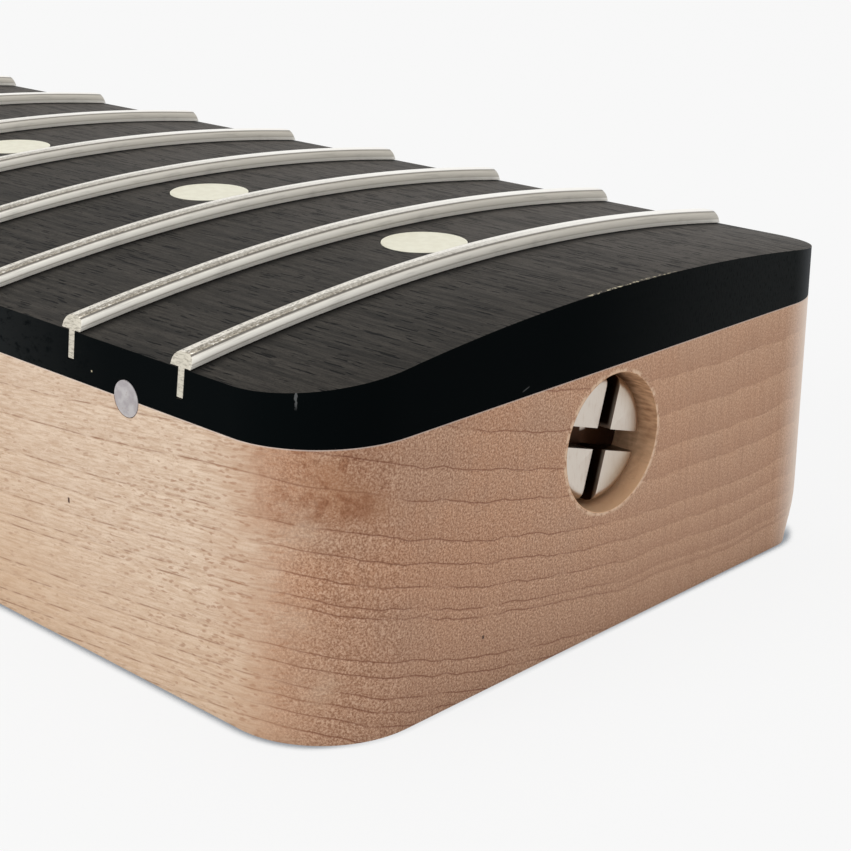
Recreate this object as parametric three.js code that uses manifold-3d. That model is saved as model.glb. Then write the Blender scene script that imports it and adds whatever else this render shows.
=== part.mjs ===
// A bolt-on electric guitar neck: maple shaft and headstock, slab fretboard, frets, inlays, string nut
// and a truss rod adjusted at the heel.
// Millimetres, +Z up through the fretboard. The origin is the middle of the four neck screws on the heel's
// flat underside. +X points to the heel end, -X to the headstock and -Y to the bass side.
import * as THREE from "three";
import { mergeVertices } from "three/addons/utils/BufferGeometryUtils.js";
import Module from "manifold-3d";

const wasm = await Module();
wasm.setup();

// Scale and plan
const scaleLength = 647.7;
const fretCount = 21;
const fretsPerOctave = 12;
const boardPastLastFret = 12.4;
const screwsToHeelEnd = 40;
const nutEndWidth = 42;
const heelEndWidth = 56.2;
const bassCornerRadius = 7.5;
const trebleCornerRadius = 6;

// Depths
const heelDepth = 19.9; // from the heel's underside to the fretboard's underside
const boardThickness = 5.5;
const boardRadius = 184.15;
const depthAtFirstFret = 20.8; // with the fretboard
const depthAtTwelfthFret = 22.9;

// Heel and back carve
const heelFlatLength = 76;
const heelCarveLength = 34;
const headCarveLength = 52;
const headCarveAheadOfNut = 6;
const carveExponent = 2.2; // 2 is a half ellipse, more is squarer
const flankAllowance = 0.15;
const screwSpacingAlong = 50.8;
const screwSpacingAcross = 38.1;
const screwHoleRadius = 1.6;
const screwHoleDepth = 16;

// Headstock
const headThickness = 14.3;
const headLength = 172;
const headFlareLength = 40;
const headShoulderWidth = 68;
const headTipWidth = 75;
const headTipCrown = 7;
const headCornerRadius = 11;
const headEdgeRadius = 1.5; // front and back, easing to headEdgeEnd at the scoop
const headEdgeEnd = 0.05;
const headEdgeFade = 30;
const scoopRadius = 16;
const tunerHoleRadius = 5;
const tunersPerSide = 3;
const firstTunerToNut = 46;
const tunerPitch = 42;
const tunerToEdge = 13;

// Frets
const crownWidth = 2.1;
const crownHeight = 1;
const crownEdgeHeight = 0.3;
const crownLandWidth = 0.7; // left flat by levelling
const crownArcShares = [0, 0.5, 1]; // of the quarter turn from the crown's edge to its land
const tangThickness = 0.6;
const tangDepth = 1.95;
const fretSeatGap = 0.05;
const tangSideGap = 0.03;
const tangFloorGap = 0.1;
const fretEndInset = 0.03;
const fretEndAngle = THREE.MathUtils.degToRad(20);

// Inlays
const dotRadius = 3.2;
const dotThickness = 1.6;
const dotPairSpacing = 26;
const sideDotRadius = 1.25;
const sideDotLength = 4;
const sideDotPairSpacing = 8;
const inlayGap = 0.05;
const singleDotFrets = [3, 5, 7, 9, 15, 17, 19, 21];
const doubleDotFret = 12;

// String nut
const nutThickness = 3.2;
const nutSeatDepth = 2.4;
const nutFrontHeight = 2;
const nutBackHeight = 1.3;
const nutGap = 0.05;
const boardBehindNut = 4.5;
const outerStringSpacing = 35;
const stringSlotWidths = [1.25, 1.0, 0.8, 0.6, 0.48, 0.4];
const stringSlotFloor = 0.8; // above the fretboard
const stringSlotFall = THREE.MathUtils.degToRad(7);

// Truss rod
const rodRadius = 2.4;
const rodEndHeight = 14.3;
const rodSag = 5;
const rodBendFromHeelEnd = 50;
const rodBendFromNut = 16;
const channelGap = 0.2;
const channelRoutFromHeelEnd = 34;
const filletGap = 0.05;
const anchorSide = 9.6;
const anchorLength = 10;
const anchorGap = 0.1;
const anchorFromNut = 4;
const adjusterRadius = 4.6;
const adjusterLength = 10;
const adjusterRecess = 1;
const adjusterRimRadius = 0.8; // rounds the edge of its flat face
const adjusterChamfer = 0.4;
const adjusterBoreDepth = 6.6;
const adjusterSlotWidth = 1.5;
const adjusterSlotDepth = 2.3;
const adjusterSlotTurn = THREE.MathUtils.degToRad(-17);
const adjusterTravelIn = 0.8;
const adjusterHoleRadius = 5;
const threadGap = 0.1;
const washerThickness = 1.6;
const washerGap = 0.05;

const overrun = 1; // how far a cutting solid runs past the face that it opens

// How finely curves are stepped. An arc of an outline takes two facets a step.
const arcSteps = 5;
const cornerSteps = 5;
const edgeSteps = 2;
const scoopSteps = 6;
const carveSteps = 12;
const carveSides = 20;
const rodSteps = 26;
const rodSides = 10;
const fretSteps = 10;
const nutSteps = 12;
const rimSteps = 4;
const holeSides = 24;
const dotSides = 18;
const sideDotSides = 12;

// Places along the neck
const fromNut = (fret) => scaleLength * (1 - 2 ** (-fret / fretsPerOctave));
const heelEndX = screwsToHeelEnd;
const nutX = heelEndX - boardPastLastFret - fromNut(fretCount);
const fretX = (fret) => nutX + fromNut(fret);
const dotX = (fret) => (fretX(fret) + fretX(fret - 1)) / 2;
const boardTailX = nutX - nutThickness - boardBehindNut;
const headTipX = nutX - nutThickness - headLength;
const taperSlope = (heelEndWidth - nutEndWidth) / 2 / (heelEndX - nutX);
const taperAngle = Math.atan(taperSlope);
const halfWidth = (x) => nutEndWidth / 2 + taperSlope * (x - nutX);
const arcDrop = (y, radius = boardRadius) => Math.sqrt(radius ** 2 - y ** 2) - radius; // an arc's fall at y

const scoopFootX = boardTailX - Math.sqrt(scoopRadius ** 2 - (scoopRadius - heelDepth + headThickness) ** 2);
const flareEndX = boardTailX - headFlareLength;
const headSideSlope = (headTipWidth - headShoulderWidth) / 2 / (flareEndX - headTipX);
const headSideAngle = Math.atan(headSideSlope);
const headHalfWidth = (x) => headShoulderWidth / 2 + headSideSlope * (flareEndX - x);

const adjusterFaceX = heelEndX - adjusterRecess;
const adjusterBackX = adjusterFaceX - adjusterLength;
const washerBackX = adjusterBackX - washerGap - washerThickness;
const shoulderX = washerBackX - adjusterTravelIn - washerGap;
const rodEndX = adjusterBackX + adjusterBoreDepth - adjusterTravelIn - threadGap;
const anchorX = nutX + anchorFromNut + anchorLength / 2;
const rodStartX = anchorX - anchorLength / 2;
const bendStartX = nutX + rodBendFromNut;
const bendEndX = heelEndX - rodBendFromHeelEnd;
const channelEndX = heelEndX - channelRoutFromHeelEnd;
const channelRadius = rodRadius + channelGap;
const rodHeight = (x) => {
  const share = THREE.MathUtils.clamp((x - bendStartX) / (bendEndX - bendStartX), 0, 1);
  return rodEndHeight - (rodSag * (1 - Math.cos(2 * Math.PI * share))) / 2;
};

// Solids to geometry and back
function solidOf(geometry) {
  const bare = new THREE.BufferGeometry().setAttribute("position", geometry.getAttribute("position"));
  bare.setIndex(geometry.index);
  const merged = mergeVertices(bare);
  return new wasm.Manifold(
    new wasm.Mesh({
      numProp: merged.getAttribute("position").itemSize,
      vertProperties: merged.getAttribute("position").array,
      triVerts: new Uint32Array(merged.index.array),
    }),
  );
}

function geometryOf(solid) {
  const { vertProperties, numProp, triVerts } = solid.getMesh();
  const geometry = new THREE.BufferGeometry();
  geometry.setAttribute("position", new THREE.BufferAttribute(vertProperties, numProp));
  geometry.setIndex(new THREE.BufferAttribute(triVerts, 1));
  const faceted = geometry.toNonIndexed();
  faceted.computeVertexNormals();
  return faceted;
}

const cut = (solid, ...geometries) => geometries.reduce((rest, tool) => rest.subtract(solidOf(tool)), solid);

// Flat outlines pulled straight along X, Y or Z
function prism(shape, from, to, xAxis, yAxis, zAxis, curveSegments) {
  const geometry = new THREE.ExtrudeGeometry(shape, { depth: to - from, bevelEnabled: false, curveSegments });
  geometry.translate(0, 0, from);
  return geometry.applyMatrix4(new THREE.Matrix4().makeBasis(xAxis, yAxis, zAxis));
}
const unitX = new THREE.Vector3(1, 0, 0);
const unitY = new THREE.Vector3(0, 1, 0);
const unitZ = new THREE.Vector3(0, 0, 1);
const alongX = (shape, from, to, segments) => prism(shape, from, to, unitY, unitZ, unitX, segments);
const alongZ = (shape, from, to, segments) => prism(shape, from, to, unitX, unitY, unitZ, segments);
const alongY = (shape, width, segments) =>
  prism(shape, -width / 2, width / 2, unitX, unitZ, unitY.clone().negate(), segments);

function rod(radius, from, to, axis, sides) {
  const bar = new THREE.CylinderGeometry(radius, radius, to - from, sides).translate(0, (from + to) / 2, 0);
  if (axis === "x") bar.rotateZ(-Math.PI / 2);
  if (axis === "z") bar.rotateX(Math.PI / 2);
  return bar;
}

// Rings of points joined into a closed skin. The outline turns anticlockwise seen from the last ring.
function skin(rings, outline) {
  const count = outline.length;
  const last = (rings.length - 1) * count;
  const faces = [];
  for (let ring = 0; ring < last; ring += count) {
    for (let i = 0; i < count; i++) {
      const next = (i + 1) % count;
      faces.push(ring + i, ring + next, ring + count + i);
      faces.push(ring + next, ring + count + next, ring + count + i);
    }
  }
  for (const [a, b, c] of THREE.ShapeUtils.triangulateShape(outline, [])) {
    faces.push(c, b, a);
    faces.push(last + a, last + b, last + c);
  }
  return new THREE.BufferGeometry().setFromPoints(rings.flat()).setIndex(faces);
}

// A bar bent over the fretboard's radius. Its section is in x and in height above the board, and its ends
// lean in by endAngle above the board.
function bentBar(section, halfSpan, endAngle, steps) {
  const rings = [];
  for (let step = 0; step <= steps; step++) {
    const share = 1 - step / steps;
    rings.push(
      section.map(({ x, y: height }) => {
        const radius = boardRadius + height;
        const lean = Math.max(height, 0) * Math.tan(endAngle);
        const end = Math.asin((halfSpan - lean) / radius);
        const angle = THREE.MathUtils.lerp(-end, end, share);
        return new THREE.Vector3(x, radius * Math.sin(angle), radius * Math.cos(angle) - boardRadius);
      }),
    );
  }
  return skin(rings, section);
}

// Everything above an arc that lies `depth` under the fretboard's top, between two places along the neck
function aboveArc(fromX, toX, depth, segments) {
  const radius = boardRadius - depth;
  const half = heelEndWidth / 2 + overrun;
  const angle = Math.asin(half / radius);
  const shape = new THREE.Shape();
  shape.absarc(0, boardThickness - boardRadius, radius, Math.PI / 2 + angle, Math.PI / 2 - angle, true);
  shape.lineTo(half, boardThickness + overrun);
  shape.lineTo(-half, boardThickness + overrun);
  return alongX(shape, fromX, toX, segments);
}

// The heel's rounded corners, shared by the shaft and the fretboard
function heelOutline(shape) {
  const turn = Math.PI / 2 + taperAngle;
  const addCorner = (radius, side, from, to) => {
    const x = heelEndX - radius;
    const y = halfWidth(x) - radius / Math.cos(taperAngle);
    shape.absarc(x, side * y, radius, from, to, false);
  };
  addCorner(bassCornerRadius, -1, -turn, 0);
  addCorner(trebleCornerRadius, 1, 0, turn);
}

function scoopCutter(width) {
  const shape = new THREE.Shape();
  const top = heelDepth + boardThickness + overrun;
  const centreZ = headThickness + scoopRadius;
  const pastTip = headTipX - headTipCrown - overrun;
  shape.absarc(scoopFootX, centreZ, scoopRadius, -Math.PI / 2, 0, false);
  shape.lineTo(scoopFootX + scoopRadius, Math.max(top, centreZ + overrun));
  shape.lineTo(pastTip, Math.max(top, centreZ + overrun));
  shape.lineTo(pastTip, headThickness);
  return alongY(shape, width, scoopSteps);
}

function sideDotPlaces() {
  const pairX = dotX(doubleDotFret);
  const shift = sideDotPairSpacing / 2;
  return [
    ...singleDotFrets.map((fret) => ({ name: `side_dot_${fret}`, x: dotX(fret) })),
    { name: `side_dot_${doubleDotFret}_a`, x: pairX - shift },
    { name: `side_dot_${doubleDotFret}_b`, x: pairX + shift },
  ];
}

// A side dot or its drilled hole: a peg square to the bass side with its outer end at the origin
function sidePeg(radius, length, past) {
  const peg = new THREE.CylinderGeometry(radius, radius, length + past, sideDotSides);
  return peg.translate(0, (length - past) / 2, 0);
}

function sideDotHoles(seamZ) {
  return sideDotPlaces().map(({ x }) =>
    sidePeg(sideDotRadius + inlayGap, sideDotLength + inlayGap, overrun)
      .rotateZ(-taperAngle)
      .translate(x, -halfWidth(x), seamZ),
  );
}

// Maple shaft, heel and headstock
function planOutline() {
  const shape = new THREE.Shape();
  const shoulder = headShoulderWidth / 2;
  const nape = halfWidth(boardTailX);
  const cornerX = headTipX + headCornerRadius;
  const cornerY = headHalfWidth(cornerX) - headCornerRadius / Math.cos(headSideAngle);
  const handle = headFlareLength / 2;
  const handleIn = nape - handle * taperSlope;
  const handleOut = shoulder - handle * headSideSlope;
  heelOutline(shape);
  shape.lineTo(boardTailX, nape);
  shape.bezierCurveTo(boardTailX - handle, handleIn, flareEndX + handle, handleOut, flareEndX, shoulder);
  shape.absarc(cornerX, cornerY, headCornerRadius, Math.PI / 2 - headSideAngle, Math.PI, false);
  shape.quadraticCurveTo(headTipX - headTipCrown, 0, headTipX, -cornerY);
  shape.absarc(cornerX, -cornerY, headCornerRadius, Math.PI, 1.5 * Math.PI + headSideAngle, false);
  shape.lineTo(flareEndX, -shoulder);
  shape.bezierCurveTo(flareEndX + handle, -handleOut, boardTailX - handle, -handleIn, boardTailX, -nape);
  return shape;
}

// The carve's envelope: a block over the heel and headstock that eases into the grip's rounded back
function backCarve() {
  const heelFull = heelEndX - heelFlatLength - heelCarveLength;
  const headFull = nutX + headCarveAheadOfNut;
  const zones = [
    { full: headFull, flat: headFull - headCarveLength, half: headTipWidth / 2 + overrun },
    { full: heelFull, flat: heelEndX - heelFlatLength, half: heelEndWidth / 2 + overrun },
  ];
  const depthSlope = (depthAtTwelfthFret - depthAtFirstFret) / (fretX(fretsPerOctave) - fretX(1));
  const depthAt = (x) => depthAtFirstFret + depthSlope * (x - fretX(1)) - boardThickness;
  const ringAt = (x, zone) => {
    const grip = 1 - THREE.MathUtils.smoothstep(Math.abs(x - zone.full), 0, Math.abs(zone.flat - zone.full));
    const half = halfWidth(x) + flankAllowance;
    const depth = depthAt(x);
    const ring = [];
    for (let i = 0; i <= carveSides; i++) {
      const angle = Math.PI * (1 + i / carveSides);
      const along = Math.cos(angle);
      const down = Math.sin(angle);
      const square = Math.max(Math.abs(along), Math.abs(down));
      const power = 2 / carveExponent;
      const gripY = Math.sign(along) * Math.abs(along) ** power * half;
      const gripZ = -(Math.abs(down) ** power) * depth;
      const y = THREE.MathUtils.lerp((along / square) * zone.half, gripY, grip);
      const z = THREE.MathUtils.lerp((down / square) * (heelDepth + overrun), gripZ, grip);
      ring.push(new THREE.Vector2(y, heelDepth + z));
    }
    const top = heelDepth + overrun;
    return [new THREE.Vector2(ring.at(-1).x, top), new THREE.Vector2(ring[0].x, top), ...ring];
  };
  const stations = [{ x: headTipX - headTipCrown - overrun, zone: zones[0] }];
  for (let i = 0; i <= carveSteps; i++) {
    stations.push({ x: THREE.MathUtils.lerp(zones[0].flat, zones[0].full, i / carveSteps), zone: zones[0] });
  }
  for (let i = 0; i <= carveSteps; i++) {
    stations.push({ x: THREE.MathUtils.lerp(zones[1].full, zones[1].flat, i / carveSteps), zone: zones[1] });
  }
  stations.push({ x: heelEndX + overrun, zone: zones[1] });
  const outlines = stations.map(({ x, zone }) => ringAt(x, zone));
  const placed = (outline, x) => outline.map((point) => new THREE.Vector3(x, point.x, point.y));
  const rings = outlines.map((outline, i) => placed(outline, stations[i].x));
  return skin(rings, outlines[0]);
}

// The headstock as thick as it is, with rounded edges that ease away before the scoop
function headEnvelope() {
  const outline = planOutline().getPoints(cornerSteps);
  const places = outline.map((point, i) => {
    const along = outline[(i + 1) % outline.length].clone().sub(outline.at(i - 1)).normalize();
    const fade = THREE.MathUtils.smoothstep(point.x, scoopFootX - headEdgeFade, scoopFootX);
    const radius = THREE.MathUtils.lerp(headEdgeRadius, headEdgeEnd, fade);
    return { point, inward: new THREE.Vector2(-along.y, along.x), radius };
  });
  const ringAt = (side, angle) =>
    places.map(({ point, inward, radius }) => {
      const { x, y } = point.clone().addScaledVector(inward, radius * (1 - Math.cos(angle)));
      const fall = radius * (1 - Math.sin(angle));
      return new THREE.Vector3(x, y, side > 0 ? headThickness - fall : fall);
    });
  const rings = [];
  for (let i = -edgeSteps; i <= edgeSteps; i++) {
    const angle = (Math.abs(i) / edgeSteps) * (Math.PI / 2);
    if (i <= 0) rings.push(ringAt(-1, angle));
    if (i >= 0) rings.push(ringAt(1, angle));
  }
  return skin(rings, outline);
}

class RodLine extends THREE.Curve {
  constructor(fromX, toX) {
    super();
    this.fromX = fromX;
    this.toX = toX;
  }
  getPoint(share, target = new THREE.Vector3()) {
    const x = THREE.MathUtils.lerp(this.fromX, this.toX, share);
    return target.set(x, 0, rodHeight(x));
  }
}

function rodTube(radius, fromX, toX) {
  const section = new THREE.Shape().absarc(0, 0, radius, 0, 2 * Math.PI, false);
  const extrudePath = new RodLine(fromX, toX);
  return new THREE.ExtrudeGeometry(section, { extrudePath, steps: rodSteps, curveSegments: rodSides / 2 });
}

// The rout over the rod, from a height above the rod's centre line up to topZ
function routOver(fromX, toX, lift, topZ, width) {
  const line = new RodLine(fromX, toX);
  const shape = new THREE.Shape();
  shape.moveTo(toX, topZ);
  shape.lineTo(fromX, topZ);
  line.getPoints(rodSteps).forEach(({ x, z }) => shape.lineTo(x, z + lift));
  return alongY(shape, width);
}

function tunerPlaces() {
  const places = [];
  for (const side of [-1, 1]) {
    for (let i = 0; i < tunersPerSide; i++) {
      const x = nutX - nutThickness - firstTunerToNut - i * tunerPitch;
      places.push({ x, y: side * (headHalfWidth(x) - tunerToEdge) });
    }
  }
  return places;
}

function neckSolid() {
  const widest = Math.max(headTipWidth, headShoulderWidth, heelEndWidth) + 2 * overrun;
  const blank = solidOf(alongZ(planOutline(), 0, heelDepth, cornerSteps));
  const shaftLength = heelEndX + overrun - scoopFootX;
  const shaftDepth = heelDepth + 2 * overrun;
  const shaft = new THREE.BoxGeometry(shaftLength, widest, shaftDepth)
    .translate(scoopFootX + shaftLength / 2, 0, heelDepth / 2);
  const envelope = solidOf(headEnvelope()).add(solidOf(shaft));
  const carved = cut(blank.intersect(envelope).intersect(solidOf(backCarve())), scoopCutter(widest));
  const screwHoles = [-1, 1].flatMap((end) =>
    [-1, 1].map((side) =>
      rod(screwHoleRadius, -overrun, screwHoleDepth, "z", holeSides / 2).translate(
        (end * screwSpacingAlong) / 2, (side * screwSpacingAcross) / 2, 0,
      ),
    ),
  );
  const tunerHoles = tunerPlaces().map(({ x, y }) =>
    rod(tunerHoleRadius, -overrun, headThickness + overrun, "z", holeSides).translate(x, y, 0),
  );
  const pocketSide = anchorSide + 2 * anchorGap;
  const pocket = new THREE.BoxGeometry(
    anchorLength + 2 * anchorGap, pocketSide, heelDepth + overrun - rodEndHeight + pocketSide / 2,
  ).translate(anchorX, 0, (heelDepth + overrun + rodEndHeight - pocketSide / 2) / 2);
  return cut(
    carved,
    ...screwHoles,
    ...tunerHoles,
    ...sideDotHoles(heelDepth),
    pocket,
    rodTube(channelRadius, anchorX, shoulderX + overrun),
    routOver(anchorX, channelEndX, 0, heelDepth + overrun, 2 * channelRadius),
    rod(adjusterHoleRadius, shoulderX, heelEndX + overrun, "x", holeSides).translate(0, 0, rodEndHeight),
  );
}

// Fretboard, in its own frame with its underside at z = 0
const dotPlaces = [
  ...singleDotFrets.map((fret) => ({ name: `face_dot_${fret}`, x: dotX(fret), y: 0 })),
  ...[-1, 1].map((side, i) => ({
    name: `face_dot_${doubleDotFret}_${"ab"[i]}`,
    x: dotX(doubleDotFret),
    y: (side * dotPairSpacing) / 2,
  })),
];

function boardBlank() {
  const plan = new THREE.Shape();
  heelOutline(plan);
  plan.lineTo(boardTailX, halfWidth(boardTailX));
  plan.lineTo(boardTailX, -halfWidth(boardTailX));
  return cut(
    solidOf(alongZ(plan, 0, boardThickness + overrun / 2, cornerSteps)),
    aboveArc(boardTailX - overrun, heelEndX + overrun, 0, arcSteps),
  );
}

function fretboardSolid() {
  const slots = [];
  for (let fret = 1; fret <= fretCount; fret++) {
    const half = tangThickness / 2 + tangSideGap;
    slots.push(aboveArc(fretX(fret) - half, fretX(fret) + half, tangDepth + tangFloorGap, arcSteps));
  }
  const pocketFloor = boardThickness - dotThickness - inlayGap;
  const pocket = rod(dotRadius + inlayGap, pocketFloor, boardThickness + overrun, "z", dotSides);
  const pockets = dotPlaces.map(({ x, y }) => pocket.clone().translate(x, y, arcDrop(y)));
  return cut(
    boardBlank(),
    scoopCutter(heelEndWidth).translate(0, 0, -heelDepth),
    aboveArc(nutX - nutThickness - nutGap, nutX + nutGap, nutSeatDepth + nutGap, arcSteps),
    ...slots,
    ...pockets,
    ...sideDotHoles(0),
  );
}

function fretGeometry(fret) {
  const rise = crownHeight - crownEdgeHeight;
  const shoulder = (crownWidth - crownLandWidth) / 2;
  const tang = tangThickness / 2;
  const arc = crownArcShares.map((share) => {
    const angle = (share * Math.PI) / 2;
    return new THREE.Vector2(
      crownWidth / 2 - shoulder * (1 - Math.cos(angle)), crownEdgeHeight + rise * Math.sin(angle),
    );
  });
  const section = [
    new THREE.Vector2(-tang, -tangDepth),
    new THREE.Vector2(tang, -tangDepth),
    new THREE.Vector2(tang, fretSeatGap),
    new THREE.Vector2(crownWidth / 2, fretSeatGap),
    ...arc,
    ...arc.map(({ x, y }) => new THREE.Vector2(-x, y)).reverse(),
    new THREE.Vector2(-crownWidth / 2, fretSeatGap),
    new THREE.Vector2(-tang, fretSeatGap),
  ];
  const edge = halfWidth(fretX(fret) - crownWidth / 2);
  return bentBar(section, edge - fretEndInset, fretEndAngle, fretSteps);
}

function faceDotGeometry(x, y) {
  const top = boardThickness + arcDrop(y);
  const peg = rod(dotRadius, top - dotThickness, boardThickness + overrun, "z", dotSides).translate(x, y, 0);
  const reach = dotRadius + overrun;
  return geometryOf(cut(solidOf(peg), aboveArc(x - reach, x + reach, 0, arcSteps)));
}

function stringNutGeometry() {
  const back = nutThickness;
  const roundOver = (nutFrontHeight - nutBackHeight) / 2;
  const section = [
    new THREE.Vector2(-back, -nutSeatDepth),
    new THREE.Vector2(0, -nutSeatDepth),
    new THREE.Vector2(0, nutFrontHeight - roundOver / 2),
    new THREE.Vector2(-roundOver / 2, nutFrontHeight),
    new THREE.Vector2(-back / 2, nutFrontHeight - roundOver / 2),
    new THREE.Vector2(-back + roundOver, nutBackHeight + roundOver),
    new THREE.Vector2(-back, nutBackHeight),
  ];
  const reach = nutEndWidth / 2 - nutGap;
  const bar = solidOf(bentBar(section, reach, 0, nutSteps));
  const pitch = outerStringSpacing / (stringSlotWidths.length - 1);
  const slots = stringSlotWidths.map((width, i) => {
    const y = i * pitch - outerStringSpacing / 2;
    const length = nutThickness + 2 * overrun;
    return new THREE.BoxGeometry(length, width, nutFrontHeight)
      .translate(-length / 2 + overrun, 0, nutFrontHeight / 2)
      .rotateY(-stringSlotFall)
      .translate(0, y, arcDrop(y) + stringSlotFloor);
  });
  return geometryOf(cut(bar, ...slots));
}

// Truss rod hardware, each turned about its own X axis
function turned(points, segments) {
  const profile = points.map(([x, radius]) => new THREE.Vector2(radius, x));
  return new THREE.LatheGeometry(profile, segments).rotateZ(-Math.PI / 2);
}

function adjusterGeometry() {
  const rim = [];
  for (let i = 0; i <= rimSteps; i++) {
    const angle = (Math.PI / 2) * (i / rimSteps);
    const fall = adjusterRimRadius * (Math.sin(angle) - 1);
    rim.push([fall, adjusterRadius - adjusterRimRadius * (1 - Math.cos(angle))]);
  }
  const boreRadius = rodRadius + threadGap;
  const outline = [
    ...rim,
    [0, 0],
    [adjusterBoreDepth - adjusterLength, 0],
    [adjusterBoreDepth - adjusterLength, boreRadius],
    [-adjusterLength, boreRadius],
    [-adjusterLength, adjusterRadius - adjusterChamfer],
    [adjusterChamfer - adjusterLength, adjusterRadius],
    rim[0],
  ];
  const slots = [0, Math.PI / 2].map((turn) =>
    new THREE.BoxGeometry(adjusterSlotDepth + overrun, adjusterSlotWidth, 2 * (adjusterRadius + overrun))
      .translate((overrun - adjusterSlotDepth) / 2, 0, 0)
      .rotateX(turn),
  );
  return geometryOf(cut(solidOf(turned(outline, holeSides)), ...slots));
}

function washerGeometry() {
  const bore = rodRadius + 2 * threadGap;
  const outline = [
    [0, bore],
    [0, adjusterRadius],
    [washerThickness, adjusterRadius],
    [washerThickness, bore],
    [0, bore],
  ];
  return turned(outline, holeSides);
}

function anchorGeometry() {
  const block = solidOf(new THREE.BoxGeometry(anchorLength, anchorSide, anchorSide));
  return geometryOf(cut(block, rod(rodRadius + threadGap, -anchorLength, anchorLength, "x", holeSides)));
}

const maple = new THREE.MeshStandardMaterial({ color: "#d2b08c", roughness: 0.6, metalness: 0 });
const ebony = new THREE.MeshStandardMaterial({ color: "#23211f", roughness: 0.45, metalness: 0 });
const fretMetal = new THREE.MeshStandardMaterial({ color: "#c9c4ba", roughness: 0.25, metalness: 1 });
const creamPearl = new THREE.MeshStandardMaterial({ color: "#ebe8dc", roughness: 0.35, metalness: 0 });
const greyPearl = new THREE.MeshStandardMaterial({ color: "#c4c1c4", roughness: 0.3, metalness: 0 });
const bone = new THREE.MeshStandardMaterial({ color: "#e9e2cc", roughness: 0.4, metalness: 0 });
const steel = new THREE.MeshStandardMaterial({ color: "#8c8a86", roughness: 0.4, metalness: 1 });
const nickel = new THREE.MeshStandardMaterial({ color: "#c2bbb0", roughness: 0.35, metalness: 1 });

function piece(name, geometry, material, parent, x = 0, y = 0, z = 0) {
  const mesh = new THREE.Mesh(geometry, material);
  mesh.name = name;
  mesh.position.set(x, y, z);
  parent.add(mesh);
  return mesh;
}

const guitarNeck = new THREE.Group();
piece("neck", geometryOf(neckSolid()), maple, guitarNeck);

const board = new THREE.Group();
board.position.z = heelDepth;
guitarNeck.add(board);
piece("fretboard", geometryOf(fretboardSolid()), ebony, board);
for (let fret = 1; fret <= fretCount; fret++) {
  const number = String(fret).padStart(2, "0");
  piece(`fret_${number}`, fretGeometry(fret), fretMetal, board, fretX(fret), 0, boardThickness);
}
for (const { name, x, y } of dotPlaces) piece(name, faceDotGeometry(x, y), creamPearl, board);
for (const { name, x } of sideDotPlaces()) {
  const dot = piece(name, sidePeg(sideDotRadius, sideDotLength, 0), greyPearl, board, x, -halfWidth(x), 0);
  dot.rotation.z = -taperAngle;
}
piece("string_nut", stringNutGeometry(), bone, board, nutX, 0, boardThickness);

const filletWidth = 2 * (channelRadius - filletGap);
const filletStartX = anchorX + anchorLength / 2 + anchorGap;
const filletLift = rodRadius + filletGap;
const fillet = routOver(filletStartX, channelEndX - filletGap, filletLift, heelDepth, filletWidth);
piece("channel_fillet", fillet, maple, guitarNeck);
piece("truss_rod", rodTube(rodRadius, rodStartX, rodEndX), steel, guitarNeck);
piece("truss_rod_anchor", anchorGeometry(), steel, guitarNeck, anchorX, 0, rodEndHeight);
piece("truss_rod_washer", washerGeometry(), steel, guitarNeck, washerBackX, 0, rodEndHeight);
const adjusterPlace = [adjusterFaceX, 0, rodEndHeight];
const adjuster = piece("truss_rod_nut", adjusterGeometry(), nickel, guitarNeck, ...adjusterPlace);
adjuster.rotation.x = adjusterSlotTurn;

export default guitarNeck;
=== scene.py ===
import math

import bmesh
import bpy
from mathutils import Matrix, Vector
from mathutils.geometry import interpolate_bezier


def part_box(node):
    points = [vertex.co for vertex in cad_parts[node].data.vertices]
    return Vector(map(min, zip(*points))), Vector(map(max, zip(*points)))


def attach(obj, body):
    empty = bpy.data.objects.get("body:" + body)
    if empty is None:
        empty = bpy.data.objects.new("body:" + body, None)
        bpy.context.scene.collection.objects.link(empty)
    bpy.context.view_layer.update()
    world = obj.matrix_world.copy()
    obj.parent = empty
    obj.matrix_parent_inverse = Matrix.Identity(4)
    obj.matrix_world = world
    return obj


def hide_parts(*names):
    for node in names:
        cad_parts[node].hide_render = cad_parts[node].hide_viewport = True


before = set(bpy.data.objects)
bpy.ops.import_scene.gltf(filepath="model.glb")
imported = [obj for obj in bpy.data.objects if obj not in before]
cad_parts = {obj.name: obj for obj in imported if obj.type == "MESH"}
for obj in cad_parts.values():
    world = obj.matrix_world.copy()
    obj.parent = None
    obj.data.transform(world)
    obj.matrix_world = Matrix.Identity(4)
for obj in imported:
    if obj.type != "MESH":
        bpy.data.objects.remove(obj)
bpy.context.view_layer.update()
print("frame loaded")

# Shapes are worked out in millimetres and scaled to metres when a piece is finished.
# +X is the heel end, -Y the bass side, +Z up through the fretboard.
mm = 0.001

plan = {
    "nutEndWidth": 42,
    "heelEndWidth": 56.2,
    "bassCornerRadius": 7.5,
    "trebleCornerRadius": 6,
    "boardRadius": 184.15,
    "boardThickness": 5.5,
    "headThickness": 14.3,
    "nutThickness": 3.2,
    "scaleLength": 647.7,
    "fretsPerOctave": 12,
    "adjusterHole": 5,  # its radius
    "adjusterTurn": math.radians(-17),  # how the adjuster's slots stand at rest
}
past = 1  # cutting shapes run this far past the wood


def boxOf(node):
    low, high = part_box(node)
    return low / mm, high / mm


def middleOf(node):
    low, high = boxOf(node)
    return (low + high) / 2


def nodesCalled(start):
    return sorted(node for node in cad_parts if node.startswith(start))


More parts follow.
